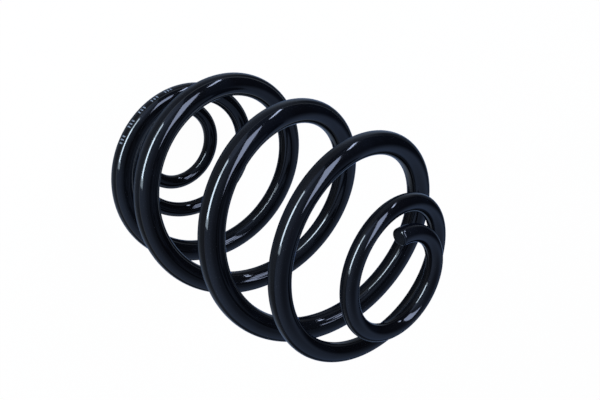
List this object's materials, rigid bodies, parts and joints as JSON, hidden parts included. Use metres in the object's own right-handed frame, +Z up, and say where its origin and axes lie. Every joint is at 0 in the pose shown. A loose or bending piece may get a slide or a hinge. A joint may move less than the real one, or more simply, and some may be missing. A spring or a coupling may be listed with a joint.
{
  "type": "suspension spring",
  "caption": "Barrel-shaped helical compression spring of tapered wire with closed inward-curled end coils and a gloss black coating.",
  "frame": {"origin": "on the coil axis, at the underside of the lower end coil", "axes": "+Z up along the coil axis from the lower end coil to the upper one; +X from the axis through the lower tip's cut; the wire climbs right handed"},
  "size_m": [0.1499, 0.15, 0.25],
  "materials": {
    "black_coat": "gloss black coating over spring steel"
  },
  "bodies": {
    "root": {"spring": "black_coat"}
  },
  "joints": []
}
